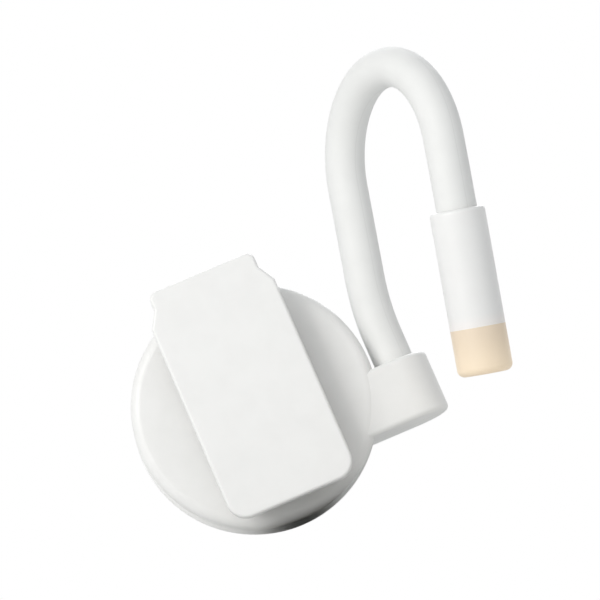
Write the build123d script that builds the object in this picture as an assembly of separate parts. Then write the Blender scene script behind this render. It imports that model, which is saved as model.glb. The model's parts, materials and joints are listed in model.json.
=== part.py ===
from build123d import *
import math
import os

os.makedirs("parts", exist_ok=True)

# Clip-on reading light, in millimetres.
# Origin: middle of the jaw's stop, which is the lower edge of the hinge ears, in the plane where the jaws meet.
# X to the right as seen from the clip's front, Y to its back, Z up along the clip.

# Round battery body behind the clip, as large as the cell, the button above it and the walls need
BODY_TOP_Z = 7.1
BODY_THICK = 10.0
FACE_Y = 1.2
WALL = 1.4
BODY_EDGE_R = 1.6
RIM_GROOVE_DEPTH = 1.3
RIM_GROOVE_R = 3.3
WELL_TO_RIM = 2.0
WELL_TO_BUTTON = 0.3
BUTTON_TO_WALL = 1.0

# Clearances
RUNNING_FIT = 0.05
SEAT_GAP = 0.05
SLIDE_GAP = 0.15
FREE_GAP = 0.4

# How far a cut runs past the face that it opens
CUT_OVER = 1.0

# Front clip lever and its hinge
LEVER_WIDTH = 20.0
LEVER_TAB_WIDTH = 17.0
LEVER_TOP_Z = 9.1
LEVER_TAPER_TOP = 2.6
LEVER_TAPER_END = 5.2
LEVER_LENGTH = 37.0
LEVER_THICK = 1.8
LEVER_CORNER_R = 3.0
LEVER_TAB_CORNER_R = 1.2
LEVER_EDGE_R = 0.45
THROAT = 4.8
PIN_R = 0.8
PIN_Z = 3.6
EAR_INNER_X = 4.4
EAR_THICK = 2.2
EAR_TOP_Z = 6.6
EAR_NOSE = 2.0
EAR_CHAMFER = 0.65
EAR_CHAMFER_RISE = 1.55
EAR_SHOULDER = 0.63
KNUCKLE_THICK = 1.4
KNUCKLE_R = 1.9
LEVER_OPEN_DEG = 28.0
JAW_BAR_RISE = 2.2
JAW_BAR_HALF = 8.0
JAW_LIFT = 1.9
JAW_HEIGHT = 5.6
JAW_GAP = 0.3
PAD_INSET = 0.6

# Clip spring
SPRING_WIRE_R = 0.3
SPRING_MEAN_R = 1.3
SPRING_PITCH = 1.05
SPRING_FULL_TURNS = 4
SPRING_LEG = 2.9
SPRING_LEG_TILT_DEG = 14.0

# Circuit board and switch
BOARD_THICK = 0.8
BOARD_STANDOFF = 0.8
BOARD_EDGE_GAP = 0.4
BOARD_POST_R = 0.95
SWITCH_SIDE = 4.4
SWITCH_HEIGHT = 3.4
STEM_R = 1.0
STEM_DEPTH = 0.6
BUTTON_R = 2.7
BUTTON_FLANGE = 0.5
BUTTON_FLANGE_THICK = 0.7
BUTTON_PROUD = 0.6
BUTTON_TRAVEL = 0.5
CHIP_SIZE = (3.0, 1.6, 1.1)
RESISTOR_SIZE = (2.0, 1.25, 0.5)
CHIP_FROM_SWITCH = 4.3

# Coin cell, its contacts and its cover
CELL_R = 10.0
CELL_THICK = 3.2
CELL_CAP_RISE = 0.53
CELL_CAP_INSET = 1.07
CELL_EDGE_R = 0.27
CELL_Y = 5.4
WELL_GAP = 0.3
WELL_WALL = 2.2
COVER_R = 11.4
COVER_THICK = 1.25
COVER_SKIRT_THICK = 1.35
COVER_EDGE_R = 0.25
LUG_RISE = 0.7
LUG_ROOT = 0.5
LUG_WIDTH = 3.4
LUG_THICK = 0.5
LUG_COUNT = 3
COVER_TURN_DEG = 30.0
COIN_SLOT = (12.0, 1.4, 0.7)
CONTACT_THICK = 0.25
CONTACT_WIDTH = 4.0
CONTACT_FOOT = 1.6
BLADE_TOP_GAP = 0.53
LEAF_HALF = 5.5
LEAF_FOOT = 1.8

# Shell screws, two on each side, at these angles above the level of the body's middle
SCREW_ANGLES_DEG = (40.6, -19.0)
SCREW_INSET = 1.05
SCREW_R = 0.6
SCREW_HEAD_R = 1.35
SCREW_HEAD_THICK = 0.9
SCREW_HEAD_EDGE_R = 0.3
SCREW_SINK = 0.35
SCREW_BOSS_R = 1.9
DRIVE_SLOT = 0.35
DRIVE_DEPTH = 0.45
DRIVE_REACH = 0.9

# Flexible neck: where it runs, from its socket to the lamp head
NECK_R = 3.05
NECK_STANDOFF = 3.7
SOCKET_DROP = 1.9
SOCKET_LENGTH = 9.7
SOCKET_WALL = 1.85
SOCKET_EDGE_R = 0.8
NECK_ROOT_DEPTH = 5.7
NECK_UPRIGHT = 4.5
LEAN_DEG = 13.0
LEAN_BEND_R = 42.0
LEAN_RUN = 14.2
LOOP_R = 14.5
LOOP_PLANE_DEG = 29.0
LOOP_DEG = 180.0
TAIL_BEND_R = 63.0
TAIL_DEG = 10.0
SWAY_JOINTS = (3.5, 11.5)
CURL_JOINTS = (20.0, 29.0, 38.0, 47.0, 56.0, 65.0, 74.0)
BALL_GAP = 0.12
BALL_OUT = 1.9
RIM_BACK = 1.3
BORE_R = 1.3
FLARE_R = 2.05
FLARE_BACK = 0.5
BEND_WIRE_R = 0.6
LEAD_R = 0.3
LEAD_OFFSET = 0.95
WIRE_END_GAP = 0.4
LEAD_END_GAP = 0.5
FERRULE_WALL = 0.85
FERRULE_LENGTH = 3.5
FERRULE_LIFT = 0.5
CHANNEL_HALF = 1.1
CHANNEL_HEIGHT = 2.1
CHANNEL_END_GAP = 0.55
LEAD_BEND_R = 0.8
LEAD_STEP = 0.8

# Lamp head, measured from its rear shoulder
HEAD_R = 4.15
HEAD_SHELL_LENGTH = 17.6
HEAD_EDGE_R = 0.6
HEAD_GRIP = 6.0
HEAD_LEDGE = 1.0
HEAD_LEDGE_R = 2.0
HEAD_BORE_R = 2.9
LED_BOARD_Z = 13.0
LED_BOARD_R = 3.25
LED_BOARD_THICK = 0.8
LED_SIDE = 3.0
LED_HEIGHT = 1.0
LED_DOME_R = 1.2
LED_DOME_RISE = 0.3
LENS_LENGTH = 7.0
LENS_WALL = 0.85
LENS_END = 1.4
LENS_EDGE_R = 1.1

# Places worked out from the sizes above
BACK_Y = FACE_Y + BODY_THICK
MID_Y = FACE_Y + BODY_THICK / 2
WELL_R = CELL_R + WELL_GAP
WELL_OUTER_R = WELL_R + WELL_WALL
BUTTON_ROOM = BUTTON_TO_WALL + 2 * (BUTTON_R + BUTTON_FLANGE) + WELL_TO_BUTTON
BODY_R = (RIM_GROOVE_DEPTH + WALL + BUTTON_ROOM + 2 * WELL_OUTER_R + WELL_TO_RIM) / 2
BODY_Z = BODY_TOP_Z - BODY_R
CAVITY_R = BODY_R - RIM_GROOVE_DEPTH - WALL
CELL_Z = BODY_Z - BODY_R + WELL_TO_RIM + WELL_OUTER_R
BUTTON_Z = CELL_Z + WELL_OUTER_R + WELL_TO_BUTTON + BUTTON_FLANGE + BUTTON_R
INNER_FRONT_Y = FACE_Y + WALL
INNER_BACK_Y = BACK_Y - WALL
LEVER_INNER_Y = FACE_Y - THROAT
LEVER_OUTER_Y = LEVER_INNER_Y - LEVER_THICK
PIN_Y = FACE_Y - THROAT / 2
EAR_OUTER_X = EAR_INNER_X + EAR_THICK
KNUCKLE_INNER_X = EAR_OUTER_X + FREE_GAP
KNUCKLE_OUTER_X = KNUCKLE_INNER_X + KNUCKLE_THICK
BOARD_FRONT_Y = INNER_FRONT_Y + BOARD_STANDOFF
BOARD_BACK_Y = BOARD_FRONT_Y + BOARD_THICK
BOARD_R = CAVITY_R - BOARD_EDGE_GAP
SWITCH_BACK_Y = BOARD_BACK_Y + SWITCH_HEIGHT
BUTTON_BACK_Y = BACK_Y + BUTTON_PROUD
BUTTON_FLANGE_BACK_Y = INNER_BACK_Y - 2 * SEAT_GAP
BUTTON_FRONT_Y = BUTTON_FLANGE_BACK_Y - BUTTON_FLANGE_THICK
STEM_BACK_Y = BUTTON_FRONT_Y - SEAT_GAP
STEM_WELL = STEM_DEPTH + BUTTON_TRAVEL + 2 * SEAT_GAP
CHIP_X = SWITCH_SIDE / 2 + CHIP_FROM_SWITCH
CELL_BACK_Y = CELL_Y + CELL_THICK
COVER_FRONT_Y = BACK_Y - COVER_THICK
COVER_SEAT_Y = COVER_FRONT_Y - SEAT_GAP
SKIRT_R = WELL_R - SLIDE_GAP
SKIRT_FRONT_Y = CELL_BACK_Y + SEAT_GAP
LUG_R = WELL_R + LUG_RISE
LUG_BACK_Y = SKIRT_FRONT_Y + LUG_THICK
SCREW_HEAD_BACK_Y = BACK_Y - SCREW_SINK
SCREW_HEAD_FRONT_Y = SCREW_HEAD_BACK_Y - SCREW_HEAD_THICK
SCREW_RING_R = CAVITY_R - SCREW_INSET
SOCKET_R = NECK_R + SOCKET_WALL
SOCKET_TOP_Z = BODY_Z - SOCKET_DROP
SOCKET_BOTTOM_Z = SOCKET_TOP_Z - SOCKET_LENGTH
NECK_X = BODY_R + NECK_STANDOFF
NECK_ROOT_Z = SOCKET_TOP_Z - NECK_ROOT_DEPTH
JAW_BOTTOM_Z = LEVER_TOP_Z - LEVER_LENGTH + JAW_LIFT
JAW_TOP_Z = JAW_BOTTOM_Z + JAW_HEIGHT
NECK_JOINTS = SWAY_JOINTS + CURL_JOINTS
ON_BASE = (Align.CENTER, Align.CENTER, Align.MIN)
SHORTEST_RUN = 0.000001


def rod_y(radius, y0, y1, x=0.0, z=0.0):
    """A round bar along Y, from y0 to y1."""
    return Pos(x, y0, z) * Rot(-90, 0, 0) * Cylinder(radius, y1 - y0, align=ON_BASE)


def rod_x(radius, x0, x1, y, z):
    """A round bar along X, from x0 to x1."""
    return Pos(x0, y, z) * Rot(0, 90, 0) * Cylinder(radius, x1 - x0, align=ON_BASE)


def rod_z(radius, z0, z1, x=0.0, y=0.0):
    """A round bar along Z, from z0 to z1."""
    return Pos(x, y, z0) * Cylinder(radius, z1 - z0, align=ON_BASE)


def block(x0, x1, y0, y1, z0, z1):
    """A box between two corners."""
    corner = Pos((x0 + x1) / 2, (y0 + y1) / 2, (z0 + z1) / 2)
    return corner * Box(x1 - x0, y1 - y0, z1 - z0)


def slab_yz(points, x0, x1):
    """A plate cut to an outline given in Y and Z, from x0 to x1."""
    outline = make_face(Polyline(*[(x0, y, z) for y, z in points], close=True))
    return extrude(outline, amount=x1 - x0, dir=(1, 0, 0))


def save(part, name):
    """Write one piece, all of its separate solids together."""
    solids = part.solids()
    shape = solids[0] if len(solids) == 1 else Compound(children=list(solids))
    shape.label = name
    export_step(shape, os.path.join("parts", name + ".step"))


def neck_segments():
    """The neck's centre line as straight runs and tangent arcs, each with its own frame."""
    lean = math.radians(LEAN_DEG)
    plane = math.radians(LOOP_PLANE_DEG)
    up = Vector(0, 0, 1)
    right = Vector(1, 0, 0)
    to_page = Vector(0, 1, 0)
    lean_right = Vector(math.cos(lean), 0, -math.sin(lean))
    forward = Vector(0, -1, 0) * math.cos(plane) + lean_right * math.sin(plane)
    root_normal = up.cross(Vector(0, -1, 0) * math.cos(plane) + right * math.sin(plane))
    steps = (
        (NECK_ROOT_DEPTH + NECK_UPRIGHT, 0.0, right),
        (LEAN_BEND_R * lean, LEAN_BEND_R, right),
        (LEAN_RUN, 0.0, lean_right),
        (LOOP_R * math.radians(LOOP_DEG), LOOP_R, forward),
        (TAIL_BEND_R * math.radians(TAIL_DEG), TAIL_BEND_R, to_page),
        (HEAD_SHELL_LENGTH, 0.0, to_page),
    )
    point = Vector(NECK_X, MID_Y, NECK_ROOT_Z)
    along = up
    normal = root_normal
    start = -NECK_ROOT_DEPTH
    segments = []
    for length, radius, towards in steps:
        bend = (towards - along * towards.dot(along)).normalized()
        segment = {
            "start": start,
            "length": length,
            "radius": radius,
            "point": point,
            "along": along,
            "bend": bend,
            "normal": normal,
        }
        point, along, normal = place_on(segment, length)
        segments.append(segment)
        start = start + length
    return segments


def place_on(segment, distance):
    """Point, direction and side direction at a distance along one run or arc."""
    along = segment["along"]
    bend = segment["bend"]
    radius = segment["radius"]
    if radius == 0.0:
        return segment["point"] + along * distance, along, segment["normal"]
    turn = distance / radius
    out = segment["point"] + along * (radius * math.sin(turn)) + bend * (radius * (1 - math.cos(turn)))
    new_along = along * math.cos(turn) + bend * math.sin(turn)
    new_bend = bend * math.cos(turn) - along * math.sin(turn)
    across = along.cross(bend)
    normal = new_bend * segment["normal"].dot(bend) + across * segment["normal"].dot(across)
    return out, new_along, normal


NECK = neck_segments()
HEAD_START = NECK[-1]["start"]


def neck_at(distance):
    """Point, direction and side direction of the neck at a distance from the socket's mouth."""
    for segment in NECK:
        if distance <= segment["start"] + segment["length"]:
            return place_on(segment, distance - segment["start"])
    return place_on(NECK[-1], distance - NECK[-1]["start"])


def neck_tube(radius, first, last, offset=0.0):
    """A round bar along the neck between two distances, moved sideways by the offset."""
    edges = []
    for segment in NECK:
        low = max(first, segment["start"])
        high = min(last, segment["start"] + segment["length"])
        if high - low < SHORTEST_RUN:
            continue
        start, along, normal = place_on(segment, low - segment["start"])
        end, _, end_normal = place_on(segment, high - segment["start"])
        start = start + normal * offset
        end = end + end_normal * offset
        if segment["radius"] == 0.0:
            edges.append(Edge.make_line(start, end))
        else:
            edges.append(Edge.make_tangent_arc(start, along, end))
    point, along, normal = neck_at(first)
    section = Plane(origin=point + normal * offset, x_dir=normal, z_dir=along) * Circle(radius)
    return sweep(section, path=Wire(edges))


def on_neck(distance, shape):
    """Put a shape, made along Z from its own origin, on the neck at a distance."""
    point, along, normal = neck_at(distance)
    return Plane(origin=point, x_dir=normal, z_dir=along) * shape


def rounded_disc_half(front):
    """One half of the round body's outside, with its rounded outer edge and half the rim groove."""
    y0, y1 = (FACE_Y, MID_Y) if front else (MID_Y, BACK_Y)
    disc = rod_y(BODY_R, y0, y1, z=BODY_Z)
    rims = disc.edges().filter_by(GeomType.CIRCLE).sort_by(Axis.Y)
    disc = fillet(rims[0] if front else rims[-1], BODY_EDGE_R)
    groove_centre = BODY_R - RIM_GROOVE_DEPTH + RIM_GROOVE_R
    groove = Pos(0, MID_Y, BODY_Z) * Rot(90, 0, 0) * Torus(groove_centre, RIM_GROOVE_R)
    return disc - groove


def neck_socket():
    """The boss on the right of the body that the neck is clamped in, before its bores are cut."""
    boss = Pos(NECK_X, MID_Y, SOCKET_BOTTOM_Z) * Circle(SOCKET_R)
    web_length = NECK_X - BODY_R / 2
    web = Pos(NECK_X - web_length / 2, MID_Y, SOCKET_BOTTOM_Z) * Rectangle(web_length, 2 * SOCKET_R)
    lug = extrude(boss + web, amount=SOCKET_TOP_Z - SOCKET_BOTTOM_Z)
    ends = lug.faces().filter_by(Axis.Z).edges()
    return fillet(ends, SOCKET_EDGE_R)


def socket_bores():
    """The neck's bore, the ferrule's pocket and the leads' channel into the body."""
    bore = rod_z(NECK_R + RUNNING_FIT, NECK_ROOT_Z - SEAT_GAP, SOCKET_TOP_Z + CUT_OVER, NECK_X, MID_Y)
    ferrule_z = NECK_ROOT_Z + FERRULE_LIFT
    pocket = rod_z(
        NECK_R + FERRULE_WALL + RUNNING_FIT,
        ferrule_z - SEAT_GAP, ferrule_z + FERRULE_LENGTH + SEAT_GAP,
        NECK_X, MID_Y,
    )
    channel = block(
        BODY_R / 2, NECK_X + LEAD_OFFSET + CHANNEL_END_GAP,
        MID_Y - CHANNEL_HALF, MID_Y + CHANNEL_HALF,
        NECK_ROOT_Z - CHANNEL_HEIGHT, NECK_ROOT_Z,
    )
    return bore + pocket + channel


def screw_places():
    """The four screws' centres, mirrored left and right."""
    places = []
    for angle in SCREW_ANGLES_DEG:
        x = SCREW_RING_R * math.cos(math.radians(angle))
        z = BODY_Z + SCREW_RING_R * math.sin(math.radians(angle))
        places += [(-x, z), (x, z)]
    return places


def shell_cavity(front):
    """The hollow inside one half of the body."""
    if front:
        return rod_y(CAVITY_R, INNER_FRONT_Y, MID_Y + CUT_OVER, z=BODY_Z)
    return rod_y(CAVITY_R, MID_Y - CUT_OVER, INNER_BACK_Y, z=BODY_Z)


def half_space(front):
    """A block that holds everything on one side of the parting plane."""
    reach = 3 * BODY_R
    y0, y1 = (-reach, MID_Y) if front else (MID_Y, reach)
    return block(-reach, reach, y0, y1, -reach, reach)


def hinge_ear(side):
    """One ear of the hinge: its lower edge is the jaw's stop, its top corner stops the lever."""
    nose_y = PIN_Y - EAR_NOSE
    opening = math.radians(LEVER_OPEN_DEG)
    heel_rise = EAR_TOP_Z - PIN_Z
    heel_y = PIN_Y + (heel_rise * math.sin(opening) - THROAT / 2 + JAW_GAP) / math.cos(opening)
    outline = (
        (FACE_Y + WALL / 2, 0.0),
        (nose_y + EAR_CHAMFER, 0.0),
        (nose_y, EAR_CHAMFER_RISE),
        (nose_y, PIN_Z + EAR_SHOULDER),
        (heel_y, EAR_TOP_Z),
        (FACE_Y + WALL / 2, EAR_TOP_Z),
    )
    x0 = EAR_INNER_X if side > 0 else -EAR_OUTER_X
    ear = slab_yz(outline, x0, x0 + EAR_THICK)
    bore = rod_x(PIN_R + RUNNING_FIT, x0 - CUT_OVER, x0 + EAR_THICK + CUT_OVER, PIN_Y, PIN_Z)
    return ear - bore


def front_shell():
    """Front half of the body, with the hinge ears, board posts and screw posts."""
    shell = rounded_disc_half(True) + (neck_socket() & half_space(True))
    shell = shell - shell_cavity(True)
    for side in (-1, 1):
        shell = shell + hinge_ear(side)
    inside = rod_y(CAVITY_R + WALL / 2, INNER_FRONT_Y - WALL / 2, MID_Y, z=BODY_Z)
    for x, z in screw_places():
        post = rod_y(SCREW_BOSS_R, INNER_FRONT_Y - WALL / 2, MID_Y, x, z) & inside
        shell = shell + post
    for x, z in screw_places():
        shell = shell - rod_y(SCREW_R + RUNNING_FIT, INNER_FRONT_Y, MID_Y + CUT_OVER, x, z)
    post_spread = CAVITY_R / 2
    for x in (-post_spread, post_spread):
        for z in (BODY_Z - post_spread, BODY_Z + post_spread):
            shell = shell + rod_y(BOARD_POST_R, INNER_FRONT_Y - WALL / 2, BOARD_FRONT_Y, x, z)
    return shell - socket_bores()


def around_cell(angle, shape):
    """Turn a shape about the battery cover's axis, from the top of the cover."""
    return Pos(0, 0, CELL_Z) * Rot(0, angle, 0) * shape


def rear_shell():
    """Back half of the body, with the cell's well, the cover's seat, and the button and screw holes."""
    shell = rounded_disc_half(False) + (neck_socket() & half_space(False))
    shell = shell - shell_cavity(False)
    well = rod_y(WELL_OUTER_R, BOARD_BACK_Y + SEAT_GAP, BACK_Y - WALL / 2, z=CELL_Z)
    for x, z in screw_places():
        well = well - rod_y(SCREW_BOSS_R + SLIDE_GAP, 0, MID_Y, x, z)
    limit = rod_y(CAVITY_R - SEAT_GAP, BOARD_BACK_Y, MID_Y, z=BODY_Z)
    limit = limit + rod_y(CAVITY_R + WALL / 2, MID_Y, BACK_Y - WALL / 2, z=BODY_Z)
    shell = shell + (well & limit)
    for x, z in screw_places():
        boss = rod_y(SCREW_BOSS_R, MID_Y, BACK_Y - WALL / 2, x, z)
        shell = shell + (boss & rod_y(CAVITY_R + WALL / 2, MID_Y, BACK_Y, z=BODY_Z))
    for x, z in screw_places():
        shell = shell - rod_y(SCREW_R + SLIDE_GAP, MID_Y - CUT_OVER, BACK_Y + CUT_OVER, x, z)
        shell = shell - rod_y(SCREW_HEAD_R + SLIDE_GAP, SCREW_HEAD_FRONT_Y, BACK_Y + CUT_OVER, x, z)
    shell = shell - rod_y(WELL_R, BOARD_FRONT_Y, BACK_Y + CUT_OVER, z=CELL_Z)
    shell = shell - rod_y(COVER_R + SLIDE_GAP, COVER_SEAT_Y, BACK_Y + CUT_OVER, z=CELL_Z)
    lug_track = rod_y(LUG_R + SLIDE_GAP, SKIRT_FRONT_Y - SLIDE_GAP, LUG_BACK_Y + SLIDE_GAP, z=CELL_Z)
    shell = shell - lug_track
    for index in range(LUG_COUNT):
        half = LUG_WIDTH / 2 + SLIDE_GAP * 2
        gate = block(-half, half, LUG_BACK_Y, COVER_SEAT_Y + SEAT_GAP, WELL_R / 2, BODY_R)
        gate = gate & rod_y(LUG_R + 2 * SLIDE_GAP, LUG_BACK_Y, COVER_SEAT_Y + SEAT_GAP)
        shell = shell - around_cell(COVER_TURN_DEG + index * 360 / LUG_COUNT, gate)
    contact_slot = block(
        WELL_R - CUT_OVER, WELL_R + CONTACT_THICK,
        BOARD_FRONT_Y, CELL_BACK_Y - CONTACT_THICK,
        CELL_Z - CONTACT_WIDTH / 2 - WELL_GAP, CELL_Z + CONTACT_WIDTH / 2 + WELL_GAP,
    )
    shell = shell - contact_slot
    shell = shell - rod_y(BUTTON_R + SLIDE_GAP, INNER_BACK_Y - CUT_OVER, BACK_Y + CUT_OVER, z=BUTTON_Z)
    return shell - socket_bores()


def shell_screws():
    """Four small screws with slotted pan heads."""
    screws = []
    for x, z in screw_places():
        head = rod_y(SCREW_HEAD_R, SCREW_HEAD_FRONT_Y, SCREW_HEAD_BACK_Y, x, z)
        head = fillet(head.edges().filter_by(GeomType.CIRCLE).sort_by(Axis.Y)[-1], SCREW_HEAD_EDGE_R)
        shank = rod_y(SCREW_R, BOARD_BACK_Y, SCREW_HEAD_FRONT_Y, x, z)
        slot_y = SCREW_HEAD_BACK_Y - DRIVE_DEPTH
        cut = DRIVE_SLOT / 2
        across = block(x - BODY_R, x + BODY_R, slot_y, BACK_Y, z - cut, z + cut)
        down = block(x - cut, x + cut, slot_y, BACK_Y, z - BODY_R, z + BODY_R)
        recess = rod_y(DRIVE_REACH, slot_y, BACK_Y, x, z)
        screws.append(head + shank - ((across + down) & recess))
    return Compound(children=[s.solids()[0] for s in screws])


def circuit_board():
    """Round board behind the front wall, notched round the screw posts."""
    board = rod_y(BOARD_R, BOARD_FRONT_Y, BOARD_BACK_Y, z=BODY_Z)
    for x, z in screw_places():
        board = board - rod_y(SCREW_BOSS_R + FREE_GAP, 0, BACK_Y, x, z)
    return board


def tact_switch():
    """Switch housing on the board under the button."""
    half = SWITCH_SIDE / 2
    body = block(-half, half, BOARD_BACK_Y, SWITCH_BACK_Y, BUTTON_Z - half, BUTTON_Z + half)
    return body - rod_y(STEM_R + SLIDE_GAP, SWITCH_BACK_Y - STEM_WELL, BACK_Y, z=BUTTON_Z)


def switch_stem():
    """The switch's own plunger, which the button pushes."""
    return rod_y(STEM_R, SWITCH_BACK_Y - STEM_DEPTH, STEM_BACK_Y, z=BUTTON_Z)


def power_button():
    """Round push button with a retaining flange inside the rear shell."""
    cap = rod_y(BUTTON_R, BUTTON_FRONT_Y, BUTTON_BACK_Y, z=BUTTON_Z)
    cap = fillet(cap.edges().filter_by(GeomType.CIRCLE).sort_by(Axis.Y)[-1], BUTTON_PROUD)
    flange = rod_y(BUTTON_R + BUTTON_FLANGE, BUTTON_FRONT_Y, BUTTON_FLANGE_BACK_Y, z=BUTTON_Z)
    return cap + flange


def board_part(size, x):
    """A small moulded component on the back of the board."""
    wide, high, thick = size
    return block(
        x - wide / 2, x + wide / 2,
        BOARD_BACK_Y, BOARD_BACK_Y + thick,
        BUTTON_Z - high / 2, BUTTON_Z + high / 2,
    )


def coin_cell():
    """Coin cell with its smaller negative cap towards the board."""
    can = rod_y(CELL_R, CELL_Y + CELL_CAP_RISE, CELL_BACK_Y, z=CELL_Z)
    can = fillet(can.edges().filter_by(GeomType.CIRCLE), CELL_EDGE_R)
    cap = rod_y(CELL_R - CELL_CAP_INSET, CELL_Y, CELL_Y + CELL_THICK / 2, z=CELL_Z)
    return can + cap


def negative_contact():
    """Sprung leaf on the board that presses on the middle of the cell."""
    low = BOARD_BACK_Y
    high = CELL_Y - SEAT_GAP
    thick = CONTACT_THICK
    inner = LEAF_HALF - LEAF_FOOT
    crown = LEAF_FOOT / 2
    outline = (
        (low, -LEAF_HALF),
        (low, -inner),
        (high - thick, -crown),
        (high - thick, crown),
        (low, inner),
        (low, LEAF_HALF),
        (low + thick, LEAF_HALF),
        (low + thick, inner + thick / 2),
        (high, crown + thick / 2),
        (high, -crown - thick / 2),
        (low + thick, -inner - thick / 2),
        (low + thick, -LEAF_HALF),
    )
    half = CONTACT_WIDTH / 2
    return slab_yz([(y, z + CELL_Z) for y, z in outline], -half, half)


def positive_contact():
    """Blade that stands on the board and touches the side of the cell's can."""
    x0 = CELL_R + SEAT_GAP
    half = CONTACT_WIDTH / 2
    blade = block(
        x0, x0 + CONTACT_THICK,
        BOARD_BACK_Y, CELL_BACK_Y - BLADE_TOP_GAP,
        CELL_Z - half, CELL_Z + half,
    )
    foot = block(
        x0 - CONTACT_FOOT, x0 + CONTACT_THICK,
        BOARD_BACK_Y, BOARD_BACK_Y + CONTACT_THICK,
        CELL_Z - half, CELL_Z + half,
    )
    return blade + foot


def battery_cover():
    """Round cover that turns on three lugs, with a slot for a coin."""
    plate = rod_y(COVER_R, COVER_FRONT_Y, BACK_Y, z=CELL_Z)
    plate = fillet(plate.edges().filter_by(GeomType.CIRCLE).sort_by(Axis.Y)[-1], COVER_EDGE_R)
    skirt = rod_y(SKIRT_R, SKIRT_FRONT_Y, COVER_FRONT_Y, z=CELL_Z)
    skirt = skirt - rod_y(SKIRT_R - COVER_SKIRT_THICK, 0, COVER_FRONT_Y, z=CELL_Z)
    cover = plate + skirt
    for index in range(LUG_COUNT):
        half = LUG_WIDTH / 2
        lug = block(-half, half, SKIRT_FRONT_Y, LUG_BACK_Y, SKIRT_R - LUG_ROOT, LUG_R)
        lug = lug & rod_y(LUG_R, SKIRT_FRONT_Y, LUG_BACK_Y)
        cover = cover + around_cell(index * 360 / LUG_COUNT, lug)
    long, wide, deep = COIN_SLOT
    low = CELL_Z - wide / 2
    return cover - block(-long / 2, long / 2, BACK_Y - deep, BACK_Y + CUT_OVER, low, low + wide)


def lever_outline():
    """Front view of the clip lever: a narrow press tab that widens to the plate."""
    half = LEVER_WIDTH / 2
    tab = LEVER_TAB_WIDTH / 2
    bottom = LEVER_TOP_Z - LEVER_LENGTH
    points = (
        (-half, bottom),
        (half, bottom),
        (half, LEVER_TOP_Z - LEVER_TAPER_END),
        (tab, LEVER_TOP_Z - LEVER_TAPER_TOP),
        (tab, LEVER_TOP_Z),
        (-tab, LEVER_TOP_Z),
        (-tab, LEVER_TOP_Z - LEVER_TAPER_TOP),
        (-half, LEVER_TOP_Z - LEVER_TAPER_END),
    )
    return make_face(Polyline(*[(x, LEVER_OUTER_Y, z) for x, z in points], close=True))


def clip_lever():
    """Front plate of the clip, with two hinge knuckles and the bar that carries its pad."""
    plate = extrude(lever_outline(), amount=LEVER_THICK, dir=(0, 1, 0))
    upright = plate.edges().filter_by(Axis.Y)
    corners = upright.sort_by(Axis.Z)
    plate = fillet(corners[:2], LEVER_CORNER_R)
    corners = plate.edges().filter_by(Axis.Y).sort_by(Axis.Z)
    plate = fillet(corners[-2:], LEVER_TAB_CORNER_R)
    plate = fillet(plate.faces().sort_by(Axis.Y)[0].edges(), LEVER_EDGE_R)
    for side in (-1, 1):
        x0 = KNUCKLE_INNER_X if side > 0 else -KNUCKLE_OUTER_X
        knuckle = rod_x(KNUCKLE_R, x0, x0 + KNUCKLE_THICK, PIN_Y, PIN_Z)
        arm = block(x0, x0 + KNUCKLE_THICK, LEVER_INNER_Y - LEVER_THICK / 2, PIN_Y,
                    PIN_Z - KNUCKLE_R, PIN_Z + KNUCKLE_R)
        plate = plate + knuckle + arm
    plate = plate - rod_x(PIN_R + SEAT_GAP / 2, -LEVER_WIDTH, LEVER_WIDTH, PIN_Y, PIN_Z)
    bar = block(-JAW_BAR_HALF, JAW_BAR_HALF, LEVER_INNER_Y - LEVER_THICK / 2,
                LEVER_INNER_Y + JAW_BAR_RISE, JAW_BOTTOM_Z, JAW_TOP_Z)
    return plate + bar


def hinge_pin():
    """Pin held in the lever's knuckles and turning in the body's ears."""
    return rod_x(PIN_R, -KNUCKLE_OUTER_X, KNUCKLE_OUTER_X, PIN_Y, PIN_Z)


def jaw_pad(y0, y1):
    """A rubber pad across the jaw, with its outer edges rounded."""
    half = JAW_BAR_HALF - PAD_INSET
    pad = block(-half, half, y0, y1, JAW_BOTTOM_Z + PAD_INSET, JAW_TOP_Z - PAD_INSET)
    return fillet(pad.edges().filter_by(Axis.Y), PAD_INSET)


def helix_edges(turns_from, turns_to, x_start):
    """Quarter turns of the spring's coil, each as two arcs that meet with one tangent."""
    quarters = math.ceil(abs(turns_to - turns_from) / (math.pi / 2))
    step = (turns_to - turns_from) / quarters
    rise = SPRING_PITCH / (2 * math.pi)

    def place(angle):
        travelled = abs(angle - turns_from)
        return Vector(
            x_start + rise * travelled,
            PIN_Y + SPRING_MEAN_R * math.cos(angle),
            PIN_Z + SPRING_MEAN_R * math.sin(angle),
        )

    def heading(angle):
        return Vector(rise, SPRING_MEAN_R * math.sin(angle), -SPRING_MEAN_R * math.cos(angle)).normalized()

    edges = []
    for index in range(quarters):
        start = place(turns_from + index * step)
        end = place(turns_from + (index + 1) * step)
        out = heading(turns_from + index * step)
        into = heading(turns_from + (index + 1) * step)
        chord = end - start
        both = out + into
        spread = 2 * (1 - out.dot(into))
        reach = (math.sqrt(chord.dot(both) ** 2 + spread * chord.dot(chord)) - chord.dot(both)) / spread
        middle = (start + out * reach + end - into * reach) * 0.5
        arc = Edge.make_tangent_arc(start, out, middle)
        edges.append(arc)
        edges.append(Edge.make_tangent_arc(middle, arc.tangent_at(1), end))
    return edges, place(turns_from), heading(turns_from), place(turns_to), heading(turns_to)


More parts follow.
